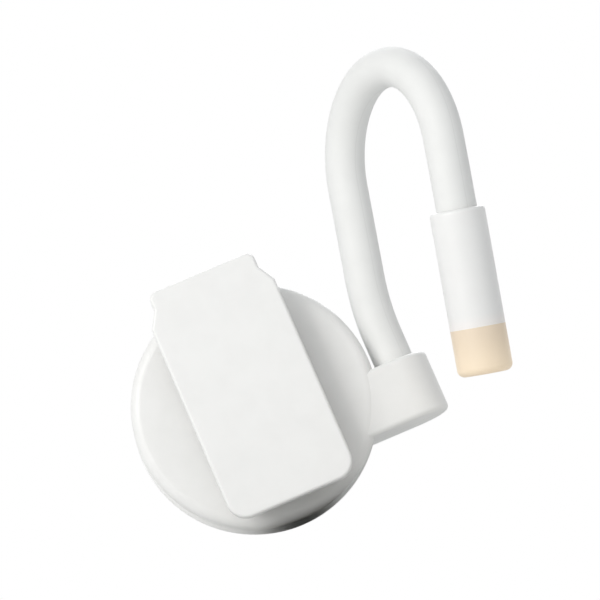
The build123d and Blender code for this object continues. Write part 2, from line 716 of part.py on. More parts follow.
def clip_spring():
    """Torsion spring on the pin: its legs push the press tab off the body, so the jaws stay shut."""
    tilt = math.radians(SPRING_LEG_TILT_DEG)
    turned = 2 * math.pi * SPRING_FULL_TURNS + math.pi - 2 * tilt
    width = SPRING_PITCH * turned / (2 * math.pi)
    edges, first, first_way, last, last_way = helix_edges(-tilt, -tilt - turned, -width / 2)
    leg_start = first - first_way * SPRING_LEG
    leg_end = last + last_way * SPRING_LEG
    path = Wire([Edge.make_line(leg_start, first)] + edges + [Edge.make_line(last, leg_end)])
    section = Plane(origin=leg_start, z_dir=first_way) * Circle(SPRING_WIRE_R)
    spring = sweep(section, path=path)
    print_spring_gap(path)
    return spring


def print_spring_gap(path):
    """Print the least gap between the spring's wire and itself, measured on points along it."""
    count = 600
    points = [path.position_at(i / count) for i in range(count + 1)]
    apart = math.ceil(count * math.pi * SPRING_MEAN_R / path.length)
    gaps = []
    for i in range(0, count + 1, 2):
        for j in range(i + apart, count + 1, 2):
            gaps.append((points[i] - points[j]).length)
    print("spring: least gap to itself", round(min(gaps) - 2 * SPRING_WIRE_R, 3), "mm")


def neck_ferrule():
    """Crimped ring that holds the neck's root in the socket."""
    z0 = NECK_ROOT_Z + FERRULE_LIFT
    z1 = z0 + FERRULE_LENGTH
    ring = rod_z(NECK_R + FERRULE_WALL, z0, z1, NECK_X, MID_Y)
    return ring - rod_z(NECK_R + RUNNING_FIT / 2, z0 - CUT_OVER, z1 + CUT_OVER, NECK_X, MID_Y)


def neck_sleeve(first, last, has_seat, has_ball):
    """One length of the soft sleeve: hollow seat at its lower end, ball at its upper end."""
    low = first + RIM_BACK if has_seat else first
    sleeve = neck_tube(NECK_R, low, last)
    if has_ball:
        cap = Sphere(NECK_R) & Cylinder(NECK_R * 2, BALL_OUT, align=ON_BASE)
        sleeve = sleeve + on_neck(last, cap)
    if has_seat:
        sleeve = sleeve - on_neck(first, Sphere(NECK_R + BALL_GAP))
    sleeve = sleeve - neck_tube(BORE_R, first, last)
    if has_ball:
        flare = Pos(0, 0, -FLARE_BACK) * Cylinder(FLARE_R, FLARE_BACK + BALL_OUT + CUT_OVER, align=ON_BASE)
        sleeve = sleeve - on_neck(last, flare)
    return sleeve


def neck_leads(first, last):
    """The two insulated leads beside the bend wire."""
    pair = [neck_tube(LEAD_R, first, last, side * LEAD_OFFSET) for side in (-1, 1)]
    return Compound(children=[lead.solids()[0] for lead in pair])


def beside_well(z):
    """Halfway, at this height, between the outside of the cell's well and the inside of the body's wall."""
    well_x = math.sqrt(WELL_OUTER_R ** 2 - (z - CELL_Z) ** 2)
    wall_x = math.sqrt(CAVITY_R ** 2 - (z - BODY_Z) ** 2)
    return (well_x + wall_x) / 2


def body_leads():
    """The two leads from the neck's root, through the channel, down to the board."""
    _, _, normal = neck_at(-NECK_ROOT_DEPTH)
    leads = []
    for side, drop in ((-1, 1), (1, 2)):
        x = NECK_X + side * LEAD_OFFSET * normal.X
        y = MID_Y + side * LEAD_OFFSET * normal.Y
        z = NECK_ROOT_Z - SEAT_GAP
        low = NECK_ROOT_Z - LEAD_STEP * drop - SEAT_GAP
        pad_x = beside_well(low)
        points = ((x, y, z), (x, y, low), (pad_x, y, low), (pad_x, BOARD_BACK_Y, low))
        path = FilletPolyline(*points, radius=LEAD_BEND_R - SEAT_GAP)
        section = Plane(origin=points[0], z_dir=(0, 0, -1)) * Circle(LEAD_R)
        leads.append(sweep(section, path=path))
    return Compound(children=[lead.solids()[0] for lead in leads])


def head_shell():
    """Lamp head's tube, with its grip on the neck and a step for the light's board."""
    tube = Cylinder(HEAD_R, HEAD_SHELL_LENGTH, align=ON_BASE)
    tube = fillet(tube.edges().filter_by(GeomType.CIRCLE).sort_by(Axis.Z)[0], HEAD_EDGE_R)
    tube = tube - rod_z(NECK_R + RUNNING_FIT, -CUT_OVER, HEAD_GRIP)
    tube = tube - rod_z(HEAD_LEDGE_R, 0.0, HEAD_SHELL_LENGTH)
    tube = tube - rod_z(HEAD_BORE_R, HEAD_GRIP + HEAD_LEDGE, HEAD_SHELL_LENGTH)
    tube = tube - rod_z(LED_BOARD_R + RUNNING_FIT, LED_BOARD_Z, HEAD_SHELL_LENGTH + CUT_OVER)
    return on_neck(HEAD_START, tube)


def led_board():
    """Round board for the light, on its step in the head."""
    return on_neck(HEAD_START, rod_z(LED_BOARD_R, LED_BOARD_Z, LED_BOARD_Z + LED_BOARD_THICK))


def led_chip():
    """Square white light with a low round face."""
    base_z = LED_BOARD_Z + LED_BOARD_THICK
    half = LED_SIDE / 2
    chip = block(-half, half, -half, half, base_z, base_z + LED_HEIGHT)
    dome = rod_z(LED_DOME_R, base_z + LED_HEIGHT / 2, base_z + LED_HEIGHT + LED_DOME_RISE)
    return on_neck(HEAD_START, chip + dome)


def lens_tip():
    """Translucent tip: a closed cup whose spigot holds the light's board on its step."""
    end = HEAD_SHELL_LENGTH + LENS_LENGTH
    tip = rod_z(HEAD_R, HEAD_SHELL_LENGTH, end)
    tip = fillet(tip.edges().filter_by(GeomType.CIRCLE).sort_by(Axis.Z)[-1], LENS_EDGE_R)
    spigot_z = LED_BOARD_Z + LED_BOARD_THICK + SEAT_GAP
    tip = tip + rod_z(LED_BOARD_R, spigot_z, HEAD_SHELL_LENGTH)
    hollow = rod_z(LED_BOARD_R - LENS_WALL, spigot_z - CUT_OVER, end - LENS_END)
    return on_neck(HEAD_START, tip - hollow)


save(front_shell(), "front_shell")
save(rear_shell(), "rear_shell")
save(shell_screws(), "shell_screws")
save(circuit_board(), "circuit_board")
save(tact_switch(), "tact_switch")
save(switch_stem(), "switch_stem")
save(power_button(), "power_button")
save(board_part(CHIP_SIZE, CHIP_X), "driver_chip")
save(board_part(RESISTOR_SIZE, -CHIP_X), "resistor")
save(coin_cell(), "coin_cell")
save(negative_contact(), "negative_contact")
save(positive_contact(), "positive_contact")
save(battery_cover(), "battery_cover")
save(clip_lever(), "clip_lever")
save(hinge_pin(), "hinge_pin")
save(clip_spring(), "clip_spring")
save(jaw_pad(LEVER_INNER_Y + JAW_BAR_RISE, -JAW_GAP / 2), "lever_pad")
save(jaw_pad(JAW_GAP / 2, FACE_Y), "body_pad")
save(neck_ferrule(), "neck_ferrule")
save(body_leads(), "body_leads")

# The neck, from its root in the socket to its end in the lamp head
ends = (-NECK_ROOT_DEPTH,) + NECK_JOINTS + (HEAD_START + HEAD_GRIP - SEAT_GAP,)
for number in range(len(ends) - 1):
    low_end = ends[number]
    high_end = ends[number + 1]
    at_root = number == 0
    at_head = number == len(ends) - 2
    tag = "root" if at_root else str(number)
    save(neck_sleeve(low_end, high_end, not at_root, not at_head), "neck_sleeve_" + tag)
    wire_low = low_end if at_root else low_end + WIRE_END_GAP
    wire_high = high_end if at_head else high_end - WIRE_END_GAP
    save(neck_tube(BEND_WIRE_R, wire_low, wire_high), "neck_wire_" + tag)
    lead_low = low_end if at_root else low_end + LEAD_END_GAP
    lead_high = HEAD_START + LED_BOARD_Z if at_head else high_end - LEAD_END_GAP
    save(neck_leads(lead_low, lead_high), "neck_leads_" + tag)

save(head_shell(), "head_shell")
save(led_board(), "led_board")
save(led_chip(), "led_chip")
save(lens_tip(), "lens_tip")

for number, distance in enumerate(NECK_JOINTS, start=1):
    joint_point, joint_way, joint_side = neck_at(distance)
    print("neck joint", number, "at", joint_point, "side", joint_side)
head_point, head_way, _ = neck_at(HEAD_START)
print("head shoulder at", head_point, "pointing", head_way)
print("neck length from the socket to the head", round(HEAD_START, 2), "mm")
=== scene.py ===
import json
import math

import bpy
import numpy as np
from mathutils import Matrix, Vector


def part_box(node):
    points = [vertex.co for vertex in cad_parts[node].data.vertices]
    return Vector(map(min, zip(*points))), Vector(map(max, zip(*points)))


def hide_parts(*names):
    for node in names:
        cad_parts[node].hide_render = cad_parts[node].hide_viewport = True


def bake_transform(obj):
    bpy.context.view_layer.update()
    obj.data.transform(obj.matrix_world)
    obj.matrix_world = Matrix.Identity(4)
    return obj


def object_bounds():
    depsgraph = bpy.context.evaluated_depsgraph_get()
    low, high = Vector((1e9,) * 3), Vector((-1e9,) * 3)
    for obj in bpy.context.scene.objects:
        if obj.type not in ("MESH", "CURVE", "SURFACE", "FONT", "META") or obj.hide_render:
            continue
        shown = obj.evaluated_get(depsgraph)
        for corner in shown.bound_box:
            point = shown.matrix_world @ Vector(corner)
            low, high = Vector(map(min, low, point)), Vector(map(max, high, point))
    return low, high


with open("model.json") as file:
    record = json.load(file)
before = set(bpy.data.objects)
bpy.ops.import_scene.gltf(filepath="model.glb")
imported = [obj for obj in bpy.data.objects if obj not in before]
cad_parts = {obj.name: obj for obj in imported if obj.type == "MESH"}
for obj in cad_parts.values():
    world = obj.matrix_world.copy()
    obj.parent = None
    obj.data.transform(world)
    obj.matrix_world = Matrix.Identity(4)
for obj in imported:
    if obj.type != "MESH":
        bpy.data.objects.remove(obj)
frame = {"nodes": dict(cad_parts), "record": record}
cad_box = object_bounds()

# Stage: the lamp stands on a plain pale floor under an even pale sky, with three soft lights.
# The main light is to the upper left, so the right side of each limb is the darker one.
# The floor turns white further away, and it can't be seen from below, where the camera is.
MM = 0.001
MIDDLE = (cad_box[0] + cad_box[1]) / 2
SKY_LIGHT = 0.50
SKY_TINT = (0.96, 0.98, 1.0, 1.0)
WHITE = (1.0, 1.0, 1.0, 1.0)
FLOOR_DROP = 0.1 * MM
FLOOR_HALF = 0.9
FLOOR_COLOUR = (0.80, 0.80, 0.79, 1.0)
FLOOR_FADE = (0.07, 0.32)
SOFT_LIGHTS = (
    {"name": "main_light", "place": (-0.37, -0.495, 0.315), "size": 0.34, "watts": 2.15,
     "colour": (1.0, 0.985, 0.96)},
    {"name": "back_light", "place": (0.22, 0.55, 0.45), "size": 0.5, "watts": 1.8,
     "colour": (0.97, 0.985, 1.0)},
    {"name": "front_fill", "place": (-0.12, -0.52, 0.06), "size": 0.42, "watts": 0.5,
     "colour": (1.0, 0.995, 0.98)},
)


def node(tree, kind, **settings):
    """Add a shader node. A setting is one of its properties, or else the name and value of an input."""
    made = tree.nodes.new(kind)
    for key, value in settings.items():
        if hasattr(made, key):
            setattr(made, key, value)
        else:
            made.inputs[key.replace("_", " ")].default_value = value
    return made


def feed(tree, made, *sources):
    """Give a node's first inputs, in order, a socket or a plain value, and return its first output."""
    for slot, source in zip(made.inputs, sources):
        if isinstance(source, bpy.types.NodeSocket):
            tree.links.new(source, slot)
        elif source is not None:
            slot.default_value = source
    return made.outputs[0] if len(made.outputs) else None


def arithmetic(tree, kind, first, second=None, clamp=False):
    """One step of arithmetic on sockets or plain numbers."""
    return feed(tree, node(tree, "ShaderNodeMath", operation=kind, use_clamp=clamp), first, second)


def remap(tree, source, ends, into=(0.0, 1.0), kind="LINEAR"):
    """Stretch a value so that the ends of one range meet the ends of another."""
    made = node(tree, "ShaderNodeMapRange", interpolation_type=kind)
    return feed(tree, made, source, ends[0], ends[1], into[0], into[1])


def seen_directly(tree):
    """1 on rays from the camera, off a mirror or through glass, and 0 where light falls on things."""
    path = node(tree, "ShaderNodeLightPath")
    first = arithmetic(tree, "MAXIMUM", path.outputs["Is Camera Ray"], path.outputs["Is Glossy Ray"])
    return arithmetic(tree, "MAXIMUM", first, path.outputs["Is Transmission Ray"])


def pale_sky():
    """World: white where it is seen, and an even pale light where it shines."""
    world = bpy.data.worlds.new("pale_sky")
    world.use_nodes = True
    tree = world.node_tree
    tree.nodes.clear()
    shining = node(tree, "ShaderNodeBackground", Color=SKY_TINT, Strength=SKY_LIGHT)
    white = node(tree, "ShaderNodeBackground", Color=WHITE, Strength=1.0)
    both = node(tree, "ShaderNodeMixShader")
    feed(tree, both, seen_directly(tree), shining.outputs[0], white.outputs[0])
    feed(tree, node(tree, "ShaderNodeOutputWorld"), both.outputs[0])
    bpy.context.scene.world = world


def pale_floor():
    """A flat floor just under the body."""
    half, low = FLOOR_HALF, cad_box[0].z - FLOOR_DROP
    corners = [(-half, -half, low), (half, -half, low), (half, half, low), (-half, half, low)]
    mesh = bpy.data.meshes.new("floor")
    mesh.from_pydata(corners, [], [(0, 1, 2, 3)])
    floor = bpy.data.objects.new("floor", mesh)
    bpy.context.collection.objects.link(floor)
    material = bpy.data.materials.new("pale_floor")
    material.use_nodes = True
    tree = material.node_tree
    tree.nodes.clear()
    away = node(tree, "ShaderNodeVectorMath", operation="LENGTH")
    feed(tree, away, node(tree, "ShaderNodeTexCoord").outputs["Object"])
    far = remap(tree, away.outputs["Value"], FLOOR_FADE, kind="SMOOTHSTEP")
    faded = arithmetic(tree, "MULTIPLY", far, seen_directly(tree))
    paint = node(tree, "ShaderNodeBsdfDiffuse", Color=FLOOR_COLOUR)
    white = node(tree, "ShaderNodeEmission", Color=WHITE, Strength=1.0)
    top = node(tree, "ShaderNodeMixShader")
    feed(tree, top, faded, paint.outputs[0], white.outputs[0])
    both = node(tree, "ShaderNodeMixShader")
    below = node(tree, "ShaderNodeNewGeometry").outputs["Backfacing"]
    feed(tree, both, below, top.outputs[0], node(tree, "ShaderNodeBsdfTransparent").outputs[0])
    feed(tree, node(tree, "ShaderNodeOutputMaterial"), both.outputs[0])
    mesh.materials.append(material)


def soft_light(name, place, size, watts, colour):
    """A square soft light that shines at the middle of the lamp."""
    lamp = bpy.data.lights.new(name, "AREA")
    lamp.size, lamp.energy, lamp.color = size, watts, colour
    holder = bpy.data.objects.new(name, lamp)
    bpy.context.collection.objects.link(holder)
    holder.location = place
    holder.rotation_euler = (MIDDLE - Vector(place)).to_track_quat("-Z", "Y").to_euler()


pale_sky()
pale_floor()
for settings in SOFT_LIGHTS:
    soft_light(**settings)
bpy.context.scene.view_settings.view_transform = "Standard"

# Camera: the eye is 650 mm in front of the clip and 108 mm below its jaw's stop, and looks up at it.
# The lamp leans to the upper left in the picture, so the camera is rolled by that angle.
EYE = Vector((-33.7 * MM, -650.0 * MM, -107.9 * MM))
LEAN_IN_PICTURE = math.radians(23.3)
LENS_MM = 262.0
CLIP_RANGE = (0.01, 10.0)
AIM_SHIFT = Vector((-0.5 * MM, 0.0, -0.5 * MM))


def eye_camera():
    """Camera at the eye, aimed a little beside the lamp's middle, with the picture's own lean."""
    data = bpy.data.cameras.new("eye")
    data.lens = LENS_MM
    data.clip_start, data.clip_end = CLIP_RANGE
    camera = bpy.data.objects.new("eye", data)
    bpy.context.collection.objects.link(camera)
    picture_up = Vector((math.sin(LEAN_IN_PICTURE), 0.0, math.cos(LEAN_IN_PICTURE)))
    forward = (MIDDLE + AIM_SHIFT - EYE).normalized()
    right = forward.cross(picture_up).normalized()
    turn = Matrix((right, right.cross(forward), -forward)).transposed().to_4x4()
    camera.matrix_world = Matrix.Translation(EYE) @ turn
    bpy.context.scene.camera = camera


eye_camera()

# Body: two round halves of white ABS, moulded and then screwed together from behind.
# Spark erosion left the mould a fine satin, so the skin has an even grain and a faint mottle where it
# flowed. A hairline of shadow runs round the rim where the halves meet.
SHELL_WHITE = (0.865, 0.865, 0.855, 1.0)
SHELL_SHADE = (0.80, 0.80, 0.785, 1.0)
GRAIN_PER_METRE = 7000.0
GRAIN_DETAIL = 2.0
GRAIN_ROUGHNESS = 0.6
MOTTLE_PER_METRE = 260.0
MOTTLE_DETAIL = 4.0
MOTTLE_ROUGHNESS = 0.55
MOTTLE_SPREAD = (0.38, 0.72)
MOTTLE_MOST = 0.32
RUBBED_SPREAD = (0.3, 0.8)
RUBBED_ROUGHNESS = (-0.07, 0.09)
# The crease settings paint shade into the skin's colour, darkest where the surface is most closed in.
CREASE_REACH = 1.4 * MM
CREASE_SAMPLES = 6
CREASE_SHARE = 0.4
CREASE_PAINTED_SHADE = (0.60, 0.585, 0.56, 1.0)
SEAM_HALF = 0.045 * MM
SEAM_DARK = (0.25, 0.245, 0.24, 1.0)
SEAM_MOST = 0.6


def blended(tree, mask, first, second, kind="MIX"):
    """Mix two colours, each a socket or a plain colour, by a mask."""
    made = node(tree, "ShaderNodeMix", data_type="RGBA", blend_type=kind)
    for name, source in (("Factor", mask), ("A", first), ("B", second)):
        if isinstance(source, bpy.types.NodeSocket):
            tree.links.new(source, made.inputs[name])
        else:
            made.inputs[name].default_value = source
    return made.outputs["Result"]


def moulded_skin():
    """Shader group of a moulded skin: mottled colour with painted shade in its creases, roughness and
    grain.
    """
    made = bpy.data.node_groups.new("moulded_skin", "ShaderNodeTree")
    colour, number = "NodeSocketColor", "NodeSocketFloat"
    inputs = (
        ("Colour", colour, WHITE),
        ("Shade", colour, WHITE),
        ("Roughness", number, 0.5),
        ("Grain per metre", number, GRAIN_PER_METRE),
        ("Mottle per metre", number, MOTTLE_PER_METRE),
        ("Crease", number, CREASE_SHARE),
    )
    for title, kind, value in inputs:
        made.interface.new_socket(title, in_out="INPUT", socket_type=kind).default_value = value
    for title, kind in (("Colour", colour), ("Roughness", number), ("Height", number)):
        made.interface.new_socket(title, in_out="OUTPUT", socket_type=kind)
    given = made.nodes.new("NodeGroupInput").outputs
    place = node(made, "ShaderNodeTexCoord").outputs["Object"]
    mottle = node(made, "ShaderNodeTexNoise", Detail=MOTTLE_DETAIL, Roughness=MOTTLE_ROUGHNESS)
    made.links.new(given["Mottle per metre"], mottle.inputs["Scale"])
    made.links.new(place, mottle.inputs["Vector"])
    flow = remap(made, mottle.outputs["Fac"], MOTTLE_SPREAD, (0.0, MOTTLE_MOST))
    flowed = blended(made, flow, given["Colour"], given["Shade"])
    # Painted shade: the colour darkens where ambient occlusion finds the surface closed in, in creases
    # and between parts.
    open_air = node(made, "ShaderNodeAmbientOcclusion", samples=CREASE_SAMPLES, Distance=CREASE_REACH)
    closed_in = arithmetic(made, "SUBTRACT", 1.0, open_air.outputs["AO"])
    painted_crease_shade = arithmetic(made, "MULTIPLY", closed_in, given["Crease"])
    rubbed = remap(made, mottle.outputs["Fac"], RUBBED_SPREAD, RUBBED_ROUGHNESS)
    grain = node(made, "ShaderNodeTexNoise", Detail=GRAIN_DETAIL, Roughness=GRAIN_ROUGHNESS)
    made.links.new(given["Grain per metre"], grain.inputs["Scale"])
    made.links.new(place, grain.inputs["Vector"])
    feed(
        made,
        made.nodes.new("NodeGroupOutput"),
        blended(made, painted_crease_shade, flowed, CREASE_PAINTED_SHADE, "MULTIPLY"),
        arithmetic(made, "ADD", given["Roughness"], rubbed, clamp=True),
        grain.outputs["Fac"],
    )
    return made


MOULDED = moulded_skin()


def moulded(name, colour, shade, roughness, grain, **changes):
    """A moulded material, with the moulded skin's colour, roughness and grain. Changes are its inputs."""
    material = bpy.data.materials.new(name)
    material.use_nodes = True
    tree = material.node_tree
    shader = tree.nodes["Principled BSDF"]
    skin = node(
        tree, "ShaderNodeGroup", node_tree=MOULDED,
        Colour=colour, Shade=shade, Roughness=roughness, **changes,
    )
    bump = node(tree, "ShaderNodeBump", Strength=1.0, Distance=grain)
    tree.links.new(skin.outputs["Height"], bump.inputs["Height"])
    tree.links.new(skin.outputs["Colour"], shader.inputs["Base Color"])
    tree.links.new(skin.outputs["Roughness"], shader.inputs["Roughness"])
    tree.links.new(bump.outputs["Normal"], shader.inputs["Normal"])
    return material


def dress(material, *names):
    """Give carried-over pieces their material."""
    for name in names:
        slots = frame["nodes"][name].data.materials
        slots.clear()
        slots.append(material)


def seam_round_rim(material, level):
    """Darken a thin line round the rim, where the distance from the meeting plane is least."""
    tree = material.node_tree
    split = node(tree, "ShaderNodeSeparateXYZ")
    feed(tree, split, node(tree, "ShaderNodeTexCoord").outputs["Object"])
    away = arithmetic(tree, "ABSOLUTE", arithmetic(tree, "SUBTRACT", split.outputs["Y"], level))
    line = remap(tree, away, (SEAM_HALF, 0.0), (0.0, SEAM_MOST))
    base = tree.nodes["Principled BSDF"].inputs["Base Color"]
    tree.links.new(blended(tree, line, base.links[0].from_socket, SEAM_DARK), base)


shell_white = moulded(
    "shell_white", SHELL_WHITE, SHELL_SHADE, roughness=0.42, grain=0.006 * MM, Crease=0.5
)
seam_round_rim(shell_white, level=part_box("front_shell")[1].y)
dress(shell_white, "front_shell", "rear_shell")

# Electronics: a round green lacquered board with a tactile switch, a driver chip and a resistor,
# all under black moulded housings, stands on posts inside the front half.
BOARD_GREEN = (0.03, 0.17, 0.07, 1.0)
BOARD_LIGHT_GREEN = (0.05, 0.24, 0.10, 1.0)
HOUSING_BLACK = (0.025, 0.025, 0.027, 1.0)
HOUSING_GREY = (0.04, 0.04, 0.04, 1.0)
board_lacquer = moulded(
    "board_lacquer", BOARD_GREEN, BOARD_LIGHT_GREEN, roughness=0.28, grain=0.004 * MM,
    Mottle_per_metre=900.0,
)
dress(board_lacquer, "circuit_board")
black_housing = moulded(
    "black_housing", HOUSING_BLACK, HOUSING_GREY, roughness=0.4, grain=0.006 * MM
)
dress(black_housing, "tact_switch", "driver_chip", "resistor")

# Power button: a white ABS cap on a stem, which sits in a well above the switch.
# Use has worn its face smoother than the shell.
BUTTON_WHITE = (0.81, 0.81, 0.80, 1.0)
BUTTON_SHADE = (0.73, 0.73, 0.72, 1.0)
button_white = moulded(
    "button_white", BUTTON_WHITE, BUTTON_SHADE, roughness=0.3, grain=0.003 * MM, Crease=0.6
)
dress(button_white, "power_button", "switch_stem")

# Battery: a nickel-plated coin cell between two sprung bronze contacts.
# Drawing left fine streaks up the can's rim, and rolling left some on the contact strips.
CELL_NICKEL = (0.74, 0.73, 0.70)
CONTACT_BRONZE = (0.78, 0.60, 0.32)
STREAK_DETAIL = 3.0
STREAK_SPREAD = (0.3, 0.7)
STREAK_ROUGHNESS = (-0.08, 0.1)
STREAK_DARK = 0.78
STREAK_DEPTH = 0.002 * MM


def metal(name, colour, roughness, streaks_per_metre, stretch=(1.0, 1.0, 1.0)):
    """Metal with fine streaks, which are long along an axis whose stretch is small."""
    material = bpy.data.materials.new(name)
    material.use_nodes = True
    tree = material.node_tree
    shader = tree.nodes["Principled BSDF"]
    shader.inputs["Metallic"].default_value = 1.0
    drawn = node(tree, "ShaderNodeMapping", Scale=stretch)
    feed(tree, drawn, node(tree, "ShaderNodeTexCoord").outputs["Object"])
    streaks = node(tree, "ShaderNodeTexNoise", Scale=streaks_per_metre, Detail=STREAK_DETAIL)
    feed(tree, streaks, drawn.outputs[0])
    strength = streaks.outputs["Fac"]
    into = tuple(roughness + change for change in STREAK_ROUGHNESS)
    darker = tuple(STREAK_DARK * part for part in colour) + (1.0,)
    bump = node(tree, "ShaderNodeBump", Strength=1.0, Distance=STREAK_DEPTH)
    tree.links.new(strength, bump.inputs["Height"])
    tree.links.new(remap(tree, strength, STREAK_SPREAD, into), shader.inputs["Roughness"])
    tree.links.new(blended(tree, strength, colour + (1.0,), darker), shader.inputs["Base Color"])
    tree.links.new(bump.outputs["Normal"], shader.inputs["Normal"])
    return material


nickel_can = metal(
    "nickel_can", CELL_NICKEL, roughness=0.26, streaks_per_metre=3000.0, stretch=(1.0, 0.1, 1.0)
)
dress(nickel_can, "coin_cell")
spring_bronze = metal(
    "spring_bronze", CONTACT_BRONZE, roughness=0.3, streaks_per_metre=4000.0, stretch=(1.0, 1.0, 0.1)
)
dress(spring_bronze, "negative_contact", "positive_contact")

# Battery cover: a white ABS disc with a coin slot, whose three lugs turn in a groove of the rear half.
# Its skin is a little coarser than the shell's, and painted shade lies deeper in the slot and round the
# edge.
COVER_WHITE = (0.855, 0.855, 0.845, 1.0)
COVER_SHADE = (0.79, 0.79, 0.78, 1.0)
cover_white = moulded(
    "cover_white", COVER_WHITE, COVER_SHADE, roughness=0.45, grain=0.008 * MM, Crease=0.6
)
dress(cover_white, "battery_cover")

# Shell screws: four cross-head screws of steel, driven from behind to hold the halves together.
# Their zinc plating is dull, with a fine even cloud on it.
SCREW_ZINC = (0.70, 0.70, 0.69)
dress(metal("zinc_plate", SCREW_ZINC, roughness=0.34, streaks_per_metre=5000.0), "shell_screws")

# Clip lever: one white ABS moulding, a flat plate with a press tab, two knuckles and a jaw bar.
# Its face came off a better polished mould than the body's, so its shine is a little sharper.
LEVER_WHITE = (0.87, 0.87, 0.862, 1.0)
LEVER_SHADE = (0.81, 0.81, 0.80, 1.0)
lever_white = moulded("lever_white", LEVER_WHITE, LEVER_SHADE, roughness=0.38, grain=0.004 * MM)
dress(lever_white, "clip_lever")

# Jaw pads: two strips of grey silicone, one glued to the lever's jaw bar and one to the body,
# which grip without leaving a mark. They are matt, with painted shade a little deeper in their creases.
PAD_GREY = (0.62, 0.62, 0.61, 1.0)
PAD_SHADE = (0.50, 0.50, 0.49, 1.0)
pad_silicone = moulded(
    "pad_silicone", PAD_GREY, PAD_SHADE, roughness=0.72, grain=0.010 * MM, Crease=0.5
)
dress(pad_silicone, "lever_pad", "body_pad")

# Hinge pin and clip spring: a steel pin through the body's two ears and the lever's knuckles,
# and a torsion spring of drawn wire round it, which pushes the press tab away from the body.
# One leg leans on the body and the other on the lever, so the coil winds up as the clip opens.
PIN_STEEL = (0.66, 0.66, 0.66)
SPRING_STEEL = (0.52, 0.52, 0.53)
SPRING_WIRE = 0.3 * MM
SPRING_RADIUS = 1.3 * MM
SPRING_PITCH = 1.05 * MM
SPRING_TURNS = 4
SPRING_LEG = 2.9 * MM
SPRING_LEG_TILT = math.radians(14.0)
SPRING_STEPS = 240
SPRING_CHAMFER = 0.08 * MM
SPRING_AROUND = 16
SHARP_EDGE_ANGLE = math.radians(40.0)


def joint_named(name):
    """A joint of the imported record."""
    return next(joint for joint in frame["record"]["behaviour"]["joints"] if joint["name"] == name)


def unit(vectors):
    """Vectors of an array, each made one long."""
    return vectors / np.linalg.norm(vectors, axis=-1, keepdims=True)


def ring_points(centre, side, over, radius, around):
    """Rings round a line: each point is centre + radius (side cos a + over sin a), for a all round."""
    angle = np.arange(around)[:, None] * (2 * math.pi / around)
    out = side[:, None] * np.cos(angle) + over[:, None] * np.sin(angle)
    return centre[:, None] + out * np.reshape(radius, (-1, 1, 1))


def grid_faces(rows, columns, row_count):
    """Four-sided faces of a grid whose columns wrap round, and whose rows wrap if row_count is rows.

    The face at a row and a column has the corners (row, column), (row, column + 1),
    (row + 1, column + 1) and (row + 1, column). The rows and columns come back with the faces.
    """
    row, column = np.meshgrid(np.arange(row_count), np.arange(columns), indexing="ij")
    next_row, next_column = (row + 1) % rows, (column + 1) % columns
    corners = (
        row * columns + column,
        row * columns + next_column,
        next_row * columns + next_column,
        next_row * columns + column,
    )
    return np.stack(corners, -1).reshape(-1, 4), row, column


def new_piece(name, points, faces):
    """A smooth-shaded piece from points and faces, with an edge wherever two faces meet sharply."""
    mesh = bpy.data.meshes.new(name)
    mesh.from_pydata(points.reshape(-1, 3), [], faces)
    mesh.polygons.foreach_set("use_smooth", np.ones(len(faces), bool))
    mesh.set_sharp_from_angle(angle=SHARP_EDGE_ANGLE)
    mesh.update()
    piece = bpy.data.objects.new(name, mesh)
    bpy.context.collection.objects.link(piece)
    return piece


def spring_line():
    """Centre points and directions of the spring's wire, from one leg's end to the other's.

    On the coil a point is (pitch s / 2 pi, y + r cos a, z + r sin a) with a = -tilt - t, where t is
    the angle turned since its start and s the same less half of all its turns. The legs run straight
    on from both ends. Half the coil's length and the pin's place come back with the line.
    """
    turned = 2 * math.pi * SPRING_TURNS + math.pi - 2 * SPRING_LEG_TILT
    rise = SPRING_PITCH / (2 * math.pi)
    pin = joint_named("lever_open")["pos_m"]
    turn = np.linspace(0.0, turned, SPRING_STEPS)
    cosine, sine = np.cos(-SPRING_LEG_TILT - turn), np.sin(-SPRING_LEG_TILT - turn)
    coil = np.stack((
        rise * (turn - turned / 2),
        pin[1] + SPRING_RADIUS * cosine,
        pin[2] + SPRING_RADIUS * sine,
    ), -1)
    way = unit(np.stack((np.full_like(turn, rise), SPRING_RADIUS * sine, -SPRING_RADIUS * cosine), -1))
    along = np.array((SPRING_LEG, SPRING_LEG - SPRING_CHAMFER, SPRING_LEG / 2))[:, None]
    points = np.concatenate((coil[:1] - way[:1] * along, coil, coil[-1:] + way[-1:] * along[::-1]))
    ways = np.concatenate((np.repeat(way[:1], len(along), 0), way, np.repeat(way[-1:], len(along), 0)))
    return points, ways, rise * turned / 2, pin


def wound_spring():
    """The spring's wire as a closed tube with chamfered ends, each closed by a point in its middle."""
    centre, way, half, pin = spring_line()
    side = unit(np.cross(way, np.array((1.0, 0.0, 0.0))))
    radius = np.full(len(centre), SPRING_WIRE)
    radius[[0, -1]] -= SPRING_CHAMFER
    rings = ring_points(centre, side, np.cross(way, side), radius, SPRING_AROUND)
    walls = grid_faces(len(rings), SPRING_AROUND, len(rings) - 1)[0]
    middle = len(rings) * SPRING_AROUND
    here = np.arange(SPRING_AROUND)
    after = (here + 1) % SPRING_AROUND
    last_ring = middle - SPRING_AROUND
    first_cap = np.stack((np.full_like(here, middle), after, here), -1)
    last_cap = np.stack((np.full_like(here, middle + 1), last_ring + here, last_ring + after), -1)
    points = np.concatenate((rings.reshape(-1, 3), centre[[0, -1]]))
    spring = new_piece(
        "wound_spring", points, walls.tolist() + first_cap.tolist() + last_cap.tolist()
    )
    spring.data.materials.append(
        metal("spring_steel", SPRING_STEEL, roughness=0.3, streaks_per_metre=6000.0)
    )
    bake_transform(spring)
    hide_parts("clip_spring")


pin_steel = metal(
    "pin_steel", PIN_STEEL, roughness=0.3, streaks_per_metre=4000.0, stretch=(0.05, 1.0, 1.0)
)
dress(pin_steel, "hinge_pin")
wound_spring()

